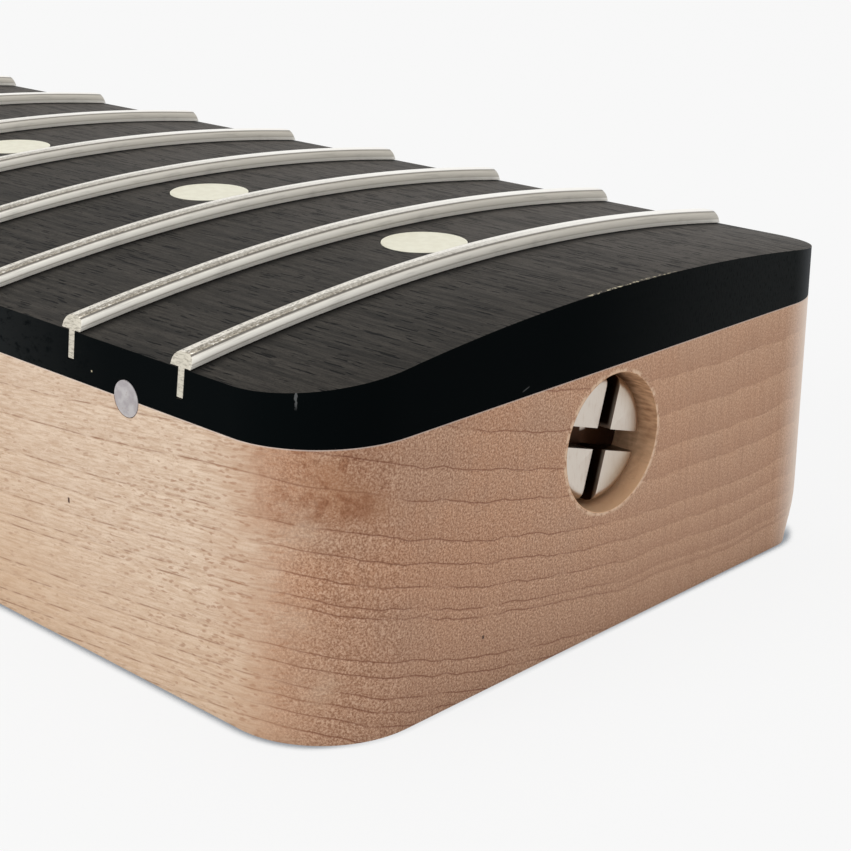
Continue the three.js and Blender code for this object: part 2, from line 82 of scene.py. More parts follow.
frets = nodesCalled("fret_")
faceDots = nodesCalled("face_dot_")
sideDots = nodesCalled("side_dot_")
neckBox = boxOf("neck")
boardBox = boxOf("fretboard")
heelEnd = neckBox[1].x
nutFront = boxOf("string_nut")[1].x
seam = boardBox[0].z
boardTop = seam + plan["boardThickness"]
boardTail = boardBox[0].x
rodZ = middleOf("truss_rod_nut").z
adjusterFace = boxOf("truss_rod_nut")[1].x
slope = (plan["heelEndWidth"] - plan["nutEndWidth"]) / 2 / (heelEnd - nutFront)
taper = math.atan(slope)
cutReach = plan["heelEndWidth"] / 2 + 2  # cuts across the fretboard run past its sides
archAxis = Vector((0, 0, boardTop - plan["boardRadius"]))  # the fretboard's top curves about this line


def halfWidth(x):
    return plan["nutEndWidth"] / 2 + slope * (x - nutFront)


def archDrop(y):
    radius = plan["boardRadius"]
    return math.sqrt(radius ** 2 - y ** 2) - radius


def smooth(share):
    share = min(max(share, 0), 1)
    return share * share * (3 - 2 * share)


def arcPoints(centre, radius, start, end, steps):
    angles = [start + (end - start) * i / steps for i in range(steps + 1)]
    return [(centre[0] + radius * math.cos(a), centre[1] + radius * math.sin(a)) for a in angles]


# Mesh tools

def whole(bm):
    return bm.verts[:] + bm.edges[:] + bm.faces[:]


def vertsOf(geometry):
    return [item for item in geometry if isinstance(item, bmesh.types.BMVert)]


def edgesOf(geometry):
    return [item for item in geometry if isinstance(item, bmesh.types.BMEdge)]


def move(bm, offset):
    bmesh.ops.translate(bm, verts=bm.verts, vec=offset)


def turn(bm, angle, axis):
    bmesh.ops.rotate(bm, verts=bm.verts, matrix=Matrix.Rotation(angle, 3, axis))


def pull(bm, faces, offset):
    grown = bmesh.ops.extrude_face_region(bm, geom=faces)["geom"]
    bmesh.ops.translate(bm, verts=vertsOf(grown), vec=offset)
    bmesh.ops.recalc_face_normals(bm, faces=bm.faces)
    return bm


def prism(points, low, high):
    bm = bmesh.new()
    face = bm.faces.new([bm.verts.new((x, y, low)) for x, y in points])
    return pull(bm, [face], (0, 0, high - low))


def loft(rings):
    bm = bmesh.new()
    ring = [bm.verts.new(point) for point in rings[0]]
    edges = bm.faces.new(ring).edges[:]
    for points in rings[1:]:
        made = bmesh.ops.extrude_edge_only(bm, edges=edges)["geom"]
        fresh = set(vertsOf(made))
        edges = [e for e in edgesOf(made) if set(e.verts) <= fresh]
        ring = [next(e.other_vert(v) for e in v.link_edges if e.other_vert(v) in fresh) for v in ring]
        for vert, point in zip(ring, points):
            vert.co = point
    bm.faces.new(ring)
    bmesh.ops.recalc_face_normals(bm, faces=bm.faces)
    return bm


def cylinder(radius, low, high, centre, sides, axis="Z"):
    bm = bmesh.new()
    bmesh.ops.create_cone(
        bm, cap_ends=True, segments=sides, radius1=radius, radius2=radius, depth=high - low,
    )
    move(bm, (0, 0, (low + high) / 2))
    if axis == "X":
        turn(bm, math.pi / 2, "Y")
    move(bm, centre)
    return bm


def block(size, centre):
    bm = bmesh.new()
    bmesh.ops.create_cube(bm, size=1)
    bmesh.ops.scale(bm, verts=bm.verts, vec=size)
    move(bm, centre)
    return bm


def overBoard(section, halfSpan, steps):  # a section in x and height, swept across the arched fretboard
    angle = math.asin(halfSpan / plan["boardRadius"])
    bm = bmesh.new()
    bm.faces.new([bm.verts.new((x, 0, boardTop + height)) for x, height in section])
    bmesh.ops.rotate(bm, verts=bm.verts, cent=archAxis, matrix=Matrix.Rotation(-angle, 3, "X"))
    bmesh.ops.spin(bm, geom=whole(bm), cent=archAxis, axis=(1, 0, 0), angle=2 * angle, steps=steps)
    bmesh.ops.recalc_face_normals(bm, faces=bm.faces)
    return bm


def meshOf(bm, name):
    mesh = bpy.data.meshes.new(name)
    bm.to_mesh(mesh)
    bm.free()
    return mesh


def placed(name, data):
    obj = bpy.data.objects.new(name, data)
    bpy.context.scene.collection.objects.link(obj)
    return obj


def joined(parts):
    bm = bmesh.new()
    for part in parts:
        mesh = meshOf(part, "part")
        bm.from_mesh(mesh)
        bpy.data.meshes.remove(mesh)
    return bm


def evaluated(obj, *others):  # the mesh with its modifiers applied, and the temporary objects gone
    bm = bmesh.new()
    bm.from_object(obj, bpy.context.evaluated_depsgraph_get())
    for item in (obj, *others):
        mesh = item.data
        bpy.data.objects.remove(item)
        bpy.data.meshes.remove(mesh)
    return bm


def boolean(bm, tool, operation="DIFFERENCE"):
    obj = placed("blank", meshOf(bm, "blank"))
    cutter = placed("cutter", meshOf(tool, "cutter"))
    modifier = obj.modifiers.new("cut", "BOOLEAN")
    modifier.operation = operation
    modifier.object = cutter
    modifier.solver = "EXACT"
    return evaluated(obj, cutter)


def bevelEdges(bm, edges, width, segments):
    bmesh.ops.bevel(
        bm, geom=edges, offset=width, offset_type="OFFSET", segments=segments, profile=0.5,
        affect="EDGES", material=-1, clamp_overlap=True,
    )


def sharpEdges(bm, degrees=35):
    limit = math.radians(degrees)
    return [e for e in bm.edges if len(e.link_faces) == 2 and e.calc_face_angle() > limit]


def closed(bm):  # without the slivers that booleans and bevels leave
    bmesh.ops.remove_doubles(bm, verts=bm.verts, dist=0.001)
    bmesh.ops.dissolve_degenerate(bm, dist=0.0005, edges=bm.edges)
    bmesh.ops.holes_fill(bm, edges=[e for e in bm.edges if e.is_boundary], sides=4)
    return bm


def addPiece(bm, name, material, body, replaced, sharp=32):
    bmesh.ops.scale(bm, verts=bm.verts, vec=(mm, mm, mm))
    mesh = meshOf(bm, name)
    mesh.shade_smooth()
    mesh.set_sharp_from_angle(angle=math.radians(sharp))
    mesh.materials.append(material)
    obj = placed(name, mesh)
    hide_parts(*replaced)
    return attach(obj, body)


# Shader maths as expressions

class Socket:
    def __init__(self, shader, output):
        self.shader = shader
        self.output = output

    def math(self, operation, *values, clamp=False):
        settings = {"operation": operation, "use_clamp": clamp}
        return self.shader.add("Math", settings, dict(enumerate(values)))

    def __add__(self, other):
        return self.math("ADD", self, other)

    def __radd__(self, other):
        return self.math("ADD", other, self)

    def __sub__(self, other):
        return self.math("SUBTRACT", self, other)

    def __rsub__(self, other):
        return self.math("SUBTRACT", other, self)

    def __mul__(self, other):
        return self.math("MULTIPLY", self, other)

    def __rmul__(self, other):
        return self.math("MULTIPLY", other, self)

    def __truediv__(self, other):
        return self.math("DIVIDE", self, other)

    def __abs__(self):
        return self.math("ABSOLUTE", self)

    def clamped(self):
        return self.math("ADD", self, 0, clamp=True)

    def root(self):
        return self.math("SQRT", self)

    def ramp(self, low, high):  # 0 below low, 1 above high and smooth between
        settings = {"interpolation_type": "SMOOTHSTEP"}
        return self.shader.add("MapRange", settings, {"Value": self, "From Min": low, "From Max": high})


class Shader:  # the nodes of a material or of the world, and its look's colours by their names
    def __init__(self, owner, look, surface="Principled BSDF"):
        owner.use_nodes = True
        self.owner = owner
        self.look = look
        self.tree = owner.node_tree
        self.surface = self.tree.nodes[surface]

    def add(self, kind, settings=None, sockets=None, output=0):
        node = self.tree.nodes.new("ShaderNode" + kind)
        for name, value in (settings or {}).items():
            if name == "stops":  # between a dark start and a dark end
                ramp = node.color_ramp
                ramp.elements[1].color = (0, 0, 0, 1)
                for position, level in value:
                    ramp.elements.new(position).color = (level, level, level, 1)
            else:
                setattr(node, name, value)
        for name, value in (sockets or {}).items():
            self.feed(node.inputs[name], value)
        return Socket(self, node.outputs[output])

    def feed(self, target, value):
        if isinstance(value, Socket):
            self.tree.links.new(value.output, target)
        elif isinstance(value, str):
            target.default_value = (*[linear(part / 255) for part in self.look[value]], 1)
        else:
            target.default_value = value

    def set(self, **values):
        for name, value in values.items():
            self.feed(self.surface.inputs[name.replace("_", " ")], value)

    def place(self):  # the row frame in millimetres
        spot = self.add("TexCoord", output="Object")
        return self.add("VectorMath", {"operation": "SCALE"}, {0: spot, "Scale": 1 / mm})

    def facing(self):
        return self.split(self.add("TexCoord", output="Normal"))

    def split(self, vector):
        return [self.add("SeparateXYZ", {}, {0: vector}, i) for i in range(3)]

    def join(self, x, y, z):
        return self.add("CombineXYZ", {}, {0: x, 1: y, 2: z})

    def noise(self, vector, scale, detail=2.0, roughness=0.5):
        sockets = {"Vector": vector, "Scale": scale, "Detail": detail, "Roughness": roughness}
        return self.add("TexNoise", {}, sockets, "Fac")

    def stretched(self, vector, scales, detail=2.0, roughness=0.5):  # noise with a scale for each axis
        vector = self.add("VectorMath", {"operation": "MULTIPLY"}, {0: vector, 1: scales})
        return self.noise(vector, 1, detail, roughness)

    def cells(self, vector):
        return self.add("TexVoronoi", {}, {"Vector": vector, "Scale": 1}, "Distance")

    def mix(self, factor, first, second, blend="MIX"):
        settings = {"data_type": "RGBA", "blend_type": blend, "clamp_factor": True}
        return self.add("Mix", settings, {0: factor, 6: first, 7: second}, 2)

    def layered(self, colour, *layers):  # each layer is a share and a colour, laid over the ones before
        for share, layer in layers:
            colour = self.mix(share, colour, layer)
        return colour

    def bump(self, height, distance, strength):
        return self.add("Bump", {}, {"Height": height, "Distance": distance * mm, "Strength": strength})


def linear(value):
    return value / 12.92 if value <= 0.04045 else ((value + 0.055) / 1.055) ** 2.4


def newMaterial(name, look):
    return Shader(bpy.data.materials.new(name), look)


def near(value, centre, reach):  # 1 at a place, easing to 0 at reach from it
    return 1 - abs(value - centre).ramp(reach * 0.5, reach)


def trebleCornerHighlight(x, y, low, high):  # the strip where the heel end rounds into the treble side, which carries a painted highlight
    return y.ramp(low, high) * (1 - y.ramp(27, 28)) * x.ramp(36, 37)


# Maple, bare and sanded. Growth rings run through the whole piece, so they meet at every corner.
mapleLook = {
    "side": (202, 181, 159),
    "sideLight": (218, 198, 177),
    "sideDark": (186, 158, 133),
    "sideLow": (190, 158, 126),
    "fleck": (150, 112, 84),
    "sideRing": (128, 88, 62),
    "blotch": (166, 122, 90),
    "end": (207, 159, 125),
    "endLight": (246, 214, 188),
    "endDark": (140, 96, 70),
    "endGrey": (198, 158, 129),
    "ring": (128, 76, 52),
    "holeWall": (228, 186, 148),
    "holeShade": (162, 118, 86),
    "rim": (236, 206, 176),
    "farEdgeHighlight": (252, 236, 222),
    "glue": (198, 186, 180),
    "tick": (70, 44, 34),
    "bassPaintedShade": (240, 236, 234),  # the first two tints are painted shade, darkening the end wood's bass half and its corner; the third darkens a stain
    "cornerPaintedShade": (238, 238, 236),
    "stainTint": (206, 178, 158),
}
mapleMarks = {  # each mark's middle and its reach along one axis
    "smudgeY": (-22.5, 5),
    "smudgeZ": (17.2, 3),
    "stainZ": (18.3, 4.6),
    "glueZ": (seam, 0.1),
    "sideTickX": (14.8, 0.14),
    "sideTickZ": (10.9, 0.26),
    "endTickY": (-13.2, 0.12),
    "endTickZ": (4, 0.17),
}
growth = {
    "pith": (15, 120),  # the rings' centre at the heel end, from the middle and from the underside
    "climb": 8,
    "climbLength": 80,
    "ringRadii": [
        92.5, 95, 97.5, 100, 102.7, 105.4, 108.05, 110.15, 112.7, 114.3, 115.9, 117.35, 118,
        120.8, 121.8, 123.1, 124, 124.9, 126, 127.3, 129,
    ],
    "rampRings": 7,
    "beforeFirst": 2.5,
    "afterLast": 0.3,
    "lateStart": 0.15,
    "lineBefore": 0.07,
    "lineAfter": 0.05,
    "lateLevel": 0.3,
    "wander": 1.1,
    "ripple": 0.5,
    "grainClimb": 0.1,
}


def ringBands(shader, x, y, z, place):  # rises to lateLevel over a year's growth and to 1 on its last line
    wander = shader.stretched(place, (0.012, 0.14, 0.1)) - 0.5
    ripple = shader.stretched(place, (0.05, 0.5, 0.12)) - 0.5
    along = (x - heelEnd) / growth["climbLength"]
    level = z - along.math("TANH", along) * growth["climb"] - growth["pith"][1]
    across = y - growth["pith"][0]
    radius = (level * level + across * across).root() + wander * growth["wander"] + ripple * growth["ripple"]
    total = 0
    radii = growth["ringRadii"]
    for first in range(0, len(radii), growth["rampRings"]):
        group = radii[first:first + growth["rampRings"]]
        start = radii[first - 1] if first else group[0] - growth["beforeFirst"]
        span = group[-1] + growth["afterLast"] - start
        stops = []
        for before, ring in zip([start, *group], group):
            levels = (
                (before + growth["lateStart"], 0),
                (ring - 2 * growth["lineBefore"], growth["lateLevel"]),
                (ring - growth["lineBefore"], 1),
                (ring + growth["lineAfter"], 0),
            )
            stops += [((spot - start) / span, level) for spot, level in levels]
        total = shader.add("ValToRGB", {"stops": stops}, {"Fac": (radius - start) / span}) + total
    return total


def mapleMaterial():
    marks = mapleMarks
    shader = newMaterial("bareMaple", mapleLook)
    place = shader.place()
    x, y, z = shader.split(place)
    turned = abs(shader.facing()[0])
    mottle = shader.noise(place, 0.16, 3)
    patchy = shader.noise(place, 0.3)
    ragged = (patchy - 0.5) * turned.ramp(0, 0.8) * 0.8
    endFace = (turned + ragged).ramp(0.02, 0.9)
    bands = ringBands(shader, x, y, z, place)
    line = bands.ramp(0.35, 0.9)
    late = (bands / growth["lateLevel"]).clamped()

    # End wood, coarser on its bass half
    softSide = y.ramp(-8, 8)
    coarse = 1 - softSide * 0.45
    speckle = shader.noise(place, 6.5, 3, 0.8)
    grit = shader.stretched(place, (2, 12, 9), 2, 0.7)
    rays = shader.stretched(place, (0.3, 2.4, 0.25))
    warm = mottle.ramp(0.35, 0.62) * (1 - y.ramp(-24, 16) * 0.7) * z.ramp(0, 14)
    crisp = line * patchy.ramp(0.25, 0.5) * (1 - softSide * 0.92)
    endColour = shader.layered(
        "endGrey",
        (warm, "end"),
        (rays.ramp(0.4, 0.75) * 0.2, "endDark"),
        (speckle.ramp(0.5, 0.62) * coarse * 0.6, "endLight"),
        ((1 - speckle).ramp(0.5, 0.62) * coarse * 0.75, "endDark"),
        (grit.ramp(0.54, 0.7) * coarse * 0.45, "ring"),
        (late * (0.12 + softSide * 0.1), "ring"),
        (crisp * 0.75, "ring"),
    )
    # painted shade over the end wood's bass half, easing off towards the treble side
    shadedEnd = shader.mix(1.0, endColour, "bassPaintedShade", "MULTIPLY")
    endColour = shader.mix(y.ramp(-26, 10), shadedEnd, endColour)
    nearEdge = (1 - y.ramp(-27, -21)) * x.ramp(33, 38)
    # painted shade on the end wood by the near corner
    endColour = shader.mix(nearEdge * 0.8, endColour, "cornerPaintedShade", "MULTIPLY")
    smudge = near(y, *marks["smudgeY"]) * near(z, *marks["smudgeZ"]) * mottle.ramp(0.38, 0.55)
    endColour = shader.mix(smudge * 0.5, endColour, "blotch")

    # Side wood, with its grain drawn out along the neck
    climbed = z - (x - heelEnd) * growth["grainClimb"]
    grain = shader.join(x, y * 3, climbed)
    cellWarp = shader.stretched(grain, (1.2, 0.7, 3))
    fleckCells = shader.cells(shader.join(x / 0.8 + cellWarp * 1.3, y / 0.9, climbed / 0.25 + cellWarp * 1.4))
    picked = Socket(shader, fleckCells.output.node.outputs["Color"]) + 0  # each cell's colour as one number
    dashes = (0.48 - fleckCells).ramp(0, 0.26) * picked.ramp(0.36, 0.5)
    fleckShare = mottle.ramp(0.3, 0.6) * 0.4 + x.ramp(0, 30) * 0.1 + 0.12
    streaks = shader.stretched(grain, (0.55, 0.3, 5), 3, 0.65)
    hairs = shader.stretched(grain, (0.22, 0.3, 7.5), 2, 0.6)
    grains = shader.stretched(grain, (5, 1, 12), 2, 0.7)
    broken = shader.stretched(grain, (0.5, 0.3, 1.2), 3).ramp(0.4, 0.62)
    low = (1 - z.ramp(1, 12)) * 0.6 + (1 - x.ramp(4, 20)) * (1 - z.ramp(8, 20)) * 0.5
    redden = x.ramp(27, 38) * (mottle + patchy * 0.5).ramp(0.5, 0.9) * 0.6
    sideColour = shader.layered(
        "sideDark",
        (streaks.ramp(0.32, 0.68), "sideLight"),
        (0.3, "side"),
        (grains.ramp(0.5, 0.75) * 0.35, "fleck"),
        (hairs.ramp(0.58, 0.72) * 0.3, "sideRing"),
        (low * 0.5, "sideLow"),
        (dashes * fleckShare, "fleck"),
        (line * broken * 0.75, "sideRing"),
        (late * 0.1, "sideRing"),
        (redden, "blotch"),
    )
    colour = shader.mix(endFace, sideColour, endColour)
    # a painted highlight on the strip where the heel end turns into the treble side
    colour = shader.mix(trebleCornerHighlight(x, y, 20.5, 25.6) * 0.9, colour, "farEdgeHighlight")
    blots = shader.noise(place, 0.8, 3, 0.65).ramp(0.45, 0.62) * 0.75 + 0.25
    stain = (1 - y.ramp(-24.5, -20.5)) * x.ramp(32, 37) * near(z, *marks["stainZ"]) * blots
    colour = shader.mix(stain * 0.8, colour, "stainTint", "MULTIPLY")

    # The adjuster's hole and the small marks
    radius = plan["adjusterHole"]
    aside = (y * y + (z - rodZ) * (z - rodZ)).root()
    atEnd = x.ramp(heelEnd - 14, heelEnd - 13.5)
    torn = shader.noise(place, 1.6)
    scrape = shader.stretched(place, (0.9, 3.5, 3.5), 3)
    shaded = scrape.ramp(0.2, 0.8) * z.ramp(rodZ - 4.5, rodZ + 1)
    wall = (1 - aside.ramp(radius + 0.02, radius + 0.06)) * atEnd
    rim = atEnd * (1 - aside.ramp(radius + 0.12, radius + 0.2 + torn * 0.35)) * torn.ramp(0.35, 0.55)
    sideTick = near(x, *marks["sideTickX"]) * near(z, *marks["sideTickZ"]) * (1 - y.ramp(0, 1))
    endTick = near(y, *marks["endTickY"]) * near(z, *marks["endTickZ"]) * endFace
    colour = shader.layered(
        colour,
        (near(z, *marks["glueZ"]) * 0.6, "glue"),
        (rim * 0.75, "rim"),
        (wall, shader.mix(shaded, "holeWall", "holeShade")),
        (sideTick + endTick, "tick"),
    )
    relief = speckle * endFace * 0.8 + (1 - endFace) * dashes * -0.4
    shader.set(
        Base_Color=colour,
        Roughness=0.6,
        Specular_IOR_Level=0.25,
        Normal=shader.bump(relief + rim * torn * 2, 0.04, 0.35),
    )
    return shader.owner


# Ebony: black, sanded, with open pores that run along the neck; its top's lighter grey is painted sheen
ebonyLook = {
    "side": (2, 5, 6),
    "sideWorn": (40, 42, 42),
    "top": (38, 36, 33),
    "topLight": (66, 62, 57),
    "topFarSheen": (92, 87, 82),
    # painted highlight for the rounded far corner
    "corner": (98, 101, 104),
    "pore": (3, 3, 3),
    "dust": (206, 196, 168),
    "scratch": (120, 122, 122),
}
ebonyMarks = {  # each mark's middle and its reach along one axis
    "chipsX": (heelEnd, 0.3),
    "nickX": (36.93, 0.08),
    "speckX": (18.3, 0.08),
    "speckZ": (20.95, 0.08),
    "scrapeY": (-9.4, 0.4),
    "scrapeZ": (23.5, 0.05),
}


def shadowBesideFrets(x):  # painted shadow: 1 against the heel side of each fret, easing to 0
    along = x - nutFront
    share = 1 - along / plan["scaleLength"]
    count = share.math("LOGARITHM", share, 2) * -plan["fretsPerOctave"]
    last = count.math("FLOOR", count)
    last = last.math("MINIMUM", last, len(frets))
    start = 1 - last.math("POWER", 2, last / -plan["fretsPerOctave"])
    return 1 - (along - start * plan["scaleLength"]).ramp(1.05, 2.2)


def ebonyMaterial():
    marks = ebonyMarks
    shader = newMaterial("ebony", ebonyLook)
    place = shader.place()
    x, y, z = shader.split(place)
    top = shader.facing()[2].ramp(0.6, 0.95)
    warp = shader.noise(place, 0.4)
    poreCells = shader.cells(shader.join(x / 3.6 + warp * 1.5, y / 0.27 + warp * 2, z / 3))
    pore = (0.36 - poreCells).ramp(0, 0.1) * shader.noise(place, 0.7).ramp(0.42, 0.52)
    fine = shader.stretched(place, (1.1, 15, 2), 3, 0.7)
    streaks = shader.stretched(place, (0.12, 2.4, 1), 3, 0.7)
    topColour = shader.layered(
        "top",
        (streaks.ramp(0.3, 0.7) * 0.8, "topLight"),
        # painted sheen, lighter towards the far side of the top
        (y.ramp(-16, 24) * streaks.ramp(0.25, 0.6) * 0.7, "topFarSheen"),
        (fine.ramp(0.5, 0.64) * 0.55, "pore"),
        (shader.noise(place, 8, 2, 0.7).ramp(0.5, 0.7) * 0.4, "pore"),
        (pore * 0.95, "pore"),
        # painted shadow on the top beside each fret
        (shadowBesideFrets(x) * 0.85, "pore"),
    )
    worn = (1 - x.ramp(-8, 22)) * (1 - y.ramp(-12, 0)) + y.ramp(-6, 22) * 0.7
    sideColour = shader.layered(
        "side",
        (worn * fine.ramp(0.3, 0.5), "sideWorn"),
        # a painted highlight where the heel end rounds into the treble side
        (trebleCornerHighlight(x, y, 21.4, 26.4) * 0.85, "corner"),
    )
    grit = shader.noise(place, 2.6, 3, 0.7)
    edge = near(x, *marks["chipsX"]) * z.ramp(boardTop - 1.9, boardTop - 1.6) * top.ramp(0, 0.6)
    chips = edge * grit.ramp(0.52, 0.58) * y.ramp(-3.6, -2.6) * (1 - y.ramp(4, 8))
    nick = near(x + grit * 0.3, *marks["nickX"]) * (1 - y.ramp(-25, -24))
    nick = nick * (z + grit * 0.8).ramp(22.7, 23.3)
    speck = near(x, *marks["speckX"]) * near(z, *marks["speckZ"]) * (1 - y.ramp(-1, 0))
    scrape = near(y, *marks["scrapeY"]) * near(z - y * 0.33, *marks["scrapeZ"]) * x.ramp(39.8, 39.9)
    colour = shader.layered(
        sideColour,
        # the top's colour, painted lighter than the sides as painted sheen
        (top, topColour),
        (chips * 0.9, "dust"),
        ((nick + scrape * 0.8) * (1 - top) * 0.45, "scratch"),
        (speck * 0.7, "dust"),
    )
    shader.set(
        Base_Color=colour,
        Roughness=top * -0.4 + 0.95,
        Specular_IOR_Level=0.045,
        Normal=shader.bump((pore + fine * 0.3) * top * -1, 0.05, 0.5),
    )
    return shader.owner


# Frets: a levelled crown on a tang, bent over the arch, with filed ends
fretShape = {
    "crownWidth": 1.98,
    "crownHeight": 1.0,
    "edgeHeight": 0.3,
    "landWidth": 0.7,
    "tangWidth": 0.6,
    "tangDepth": 1.95,
    "tangLean": 0.15,
    "bassFall": 0.15,  # the crown is filed lower towards the bass side
    "fallStart": 2,
    "fallLength": 20,
    "lift": 0.05,
    "endInset": 0.03,
    "endAngle": math.radians(20),
    "endRounding": ((-1, 0.05), (1, 0.16)),  # at the bass side and at the treble side
    "steps": 48,
    "arcSteps": 7,
}

# Nickel silver: file marks on the crown, with painted reflection bands: a painted dark line beside the crown,
# painted highlights on the flanks and painted shade at their feet
fretLook = {
    "crown": (250, 247, 240),
    "crownEdge": (226, 220, 207),
    "crownBass": (150, 142, 127),
    "line": (64, 59, 52),
    "flank": (208, 202, 190),
    "flankBass": (247, 243, 233),
    "shoulder": (168, 160, 146),
    "foot": (200, 194, 182),
    "lip": (250, 246, 236),
    "fleck": (66, 60, 51),
    "filed": (196, 190, 175),
    "filedDark": (150, 144, 130),
}


def fretMaterial():
    shader = newMaterial("nickelSilver", fretLook)
    x, y, z = shader.split(shader.place())
    across = shader.add("Attribute", {"attribute_name": "across"}, output="Fac")
    away = abs(across)
    edge = fretShape["crownWidth"] / 2
    bass = 1 - y.ramp(-24, 18)
    marks = shader.noise(shader.join(across * 7, y * 3.4, y), 1, 3, 0.75)
    drawn = shader.noise(shader.join(across * 9, y * 0.35, y * 0.1), 1, 2, 0.6)
    scratches = shader.noise(shader.join(x * 2, y * 3, z * 9), 1, 3, 0.7)
    # painted reflection: the crown is painted greyer towards the bass side, darkest on the heel half of its
    # land there; the flecks are file marks
    crown = shader.layered(
        "crown",
        (bass, "crownEdge"),
        (bass * across.ramp(-0.05, 0.12), "crownBass"),
        (marks.ramp(0.52, 0.62) * bass * 0.7, "fleck"),
        ((1 - marks).ramp(0.54, 0.64) * bass * 0.6, "crown"),
    )
    # painted light on the flanks: a painted shaded shoulder, a painted highlight on the flank that is brightest
    # towards the bass side, painted shade at the foot and a painted highlight on the lip
    flank = shader.layered(
        "shoulder",
        (away.ramp(0.7, 0.82), shader.mix(bass, "flank", "flankBass")),
        (away.ramp(edge - 0.018, edge - 0.005), "foot"),
        (away.ramp(edge - 0.003, edge), "lip"),
    )
    filed = shader.mix(scratches.ramp(0.45, 0.65), "filed", "filedDark")
    cutEnd = abs(shader.facing()[1]).ramp(0.4, 0.6)
    colour = shader.layered(
        crown,
        (away.ramp(0.62, 0.68), flank),
        # a painted dark reflection along the line where the land meets the flank
        (near(away, 0.655, 0.1) * (bass * 0.35 + 0.55), "line"),
        (drawn.ramp(0.5, 0.75) * 0.2, "line"),
        (cutEnd, filed),
    )
    shader.set(
        Base_Color=colour,
        Metallic=(0.8 - away.ramp(0.58, 0.7) * 0.62 - cutEnd * 0.6).clamped(),
        Roughness=drawn * 0.14 + 0.24,
    )
    return shader.owner


# Dull nickel on the adjuster, with painted shade inside its slots and a painted sheen in one of them
nickelLook = {
    "face": (209, 199, 188),
    "shade": (182, 164, 144),
    "slot": (58, 37, 24),
    "sheenAndScratch": (176, 150, 128),
}


def nickelMaterial():
    shader = newMaterial("dullNickel", nickelLook)
    place = shader.place()
    x, y, z = shader.split(place)
    up = z - rodZ
    cosTurn, sinTurn = math.cos(plan["adjusterTurn"]), math.sin(plan["adjusterTurn"])
    first = abs(y * cosTurn + up * sinTurn)
    second = abs(up * cosTurn - y * sinTurn)
    narrow = first.math("MINIMUM", first, second)
    slot = (1 - narrow.ramp(0.76, 0.8)) * (adjusterFace - x).ramp(0.12, 0.4)
    scratch = shader.stretched(place, (3, 5, 1.2), 3, 0.6)
    # painted shade on the face's right and lower parts, as if the face curved away there
    outer = (y * y + up * up).root().ramp(2.5, 4.6)
    shade = (outer + (1 - up.ramp(-3, 1)) * 0.6).clamped() * y.ramp(-1, 2)
    sheen = near(y, -2.9, 0.7) * near(up, 0, 1.5)
    burr = near(y, 0.7, 0.4) * near(up, 0.4, 0.5)
    # painted shade inside the slots, a painted sheen on the horizontal slot's wall and a light spot for the
    # burr
    slotColour = shader.layered("slot", (sheen * 0.6, "sheenAndScratch"), (burr, "face"))
    colour = shader.layered(
        "face",
        (shade, "shade"),
        # the scratches take the colour of the slot's painted sheen
        (scratch.ramp(0.5, 0.75) * 0.2, "sheenAndScratch"),
        (slot, slotColour),
    )
    shader.set(
        Base_Color=colour,
        Metallic=1.0,
        Roughness=scratch * 0.2 + 0.25,
        Normal=shader.bump(scratch, 0.02, 0.4),
    )
    return shader.owner


# Plain steel on the rod, its anchor and its washer
steelLook = {"dark": (130, 127, 122), "light": (158, 156, 152)}


def steelMaterial():
    shader = newMaterial("plainSteel", steelLook)
    drawn = shader.stretched(shader.place(), (0.2, 4, 4), 3)
    shader.set(
        Base_Color=shader.mix(drawn.ramp(0.3, 0.7), "dark", "light"),
        Metallic=1.0,
        Roughness=drawn * 0.2 + 0.3,
    )
    return shader.owner


inlayLooks = {
    "creamInlay": {"base": (219, 216, 196), "shade": (213, 209, 188), "fleck": (200, 196, 176)},
    "greyPearlInlay": {"base": (172, 168, 168), "shade": (150, 144, 146), "fleck": (126, 104, 100)},
    "bone": {"base": (226, 217, 194), "shade": (212, 200, 174), "fleck": (196, 182, 152)},
}


def inlayMaterial(name, fleckShare):
    shader = newMaterial(name, inlayLooks[name])
    place = shader.place()
    cloud = shader.noise(place, 1.6, 3)
    mark = shader.noise(place, 3.2, 2, 0.7).ramp(0.6, 0.7)
    colour = shader.layered(
        "shade", (cloud.ramp(0.35, 0.65), "base"), (mark * fleckShare, "fleck"),
    )
    shader.set(Base_Color=colour, Roughness=0.4)
    return shader.owner


maple = mapleMaterial()
ebony = ebonyMaterial()
fretMetal = fretMaterial()
nickel = nickelMaterial()
steel = steelMaterial()
creamInlay = inlayMaterial("creamInlay", 0.3)
greyInlay = inlayMaterial("greyPearlInlay", 0.5)
bone = inlayMaterial("bone", 0.4)
print("materials made")


# Fretboard
boardCuts = {
    "topEdge": 0.12,
    "archSteps": 72,
    "archDepth": 30,
    "cornerSteps": 24,
    "slotWidth": 0.66,
    "slotDepth": 2.05,
    "slotSteps": 24,
    "openTop": 3,  # how far the slots' cutters stand above the top
    "inlayGap": 0.05,
    "dotRadius": 3.2,
    "sideDotRadius": 1.25,
    "sideDotLength": 4,
    "nutSeat": 2.45,
    "scoopRadius": 16,  # behind the string nut, down to the headstock's face
    "scoopWidth": 90,
}


def heelArcs():
    points = []
    sweep = math.pi / 2 + taper
    bass = (plan["bassCornerRadius"], -1, -sweep, 0)
    treble = (plan["trebleCornerRadius"], 1, 0, sweep)
    for radius, side, start, end in (bass, treble):
        x = heelEnd - radius
        y = halfWidth(x) - radius / math.cos(taper)
        points += arcPoints((x, side * y), radius, start, end, boardCuts["cornerSteps"])
    return points


def archSlice(fromX, toX, lift=0.0):  # everything under the fretboard's arch
    depth = boardCuts["archDepth"]
    section = [(fromX, lift), (toX, lift), (toX, -depth), (fromX, -depth)]
    return overBoard(section, cutReach, boardCuts["archSteps"])


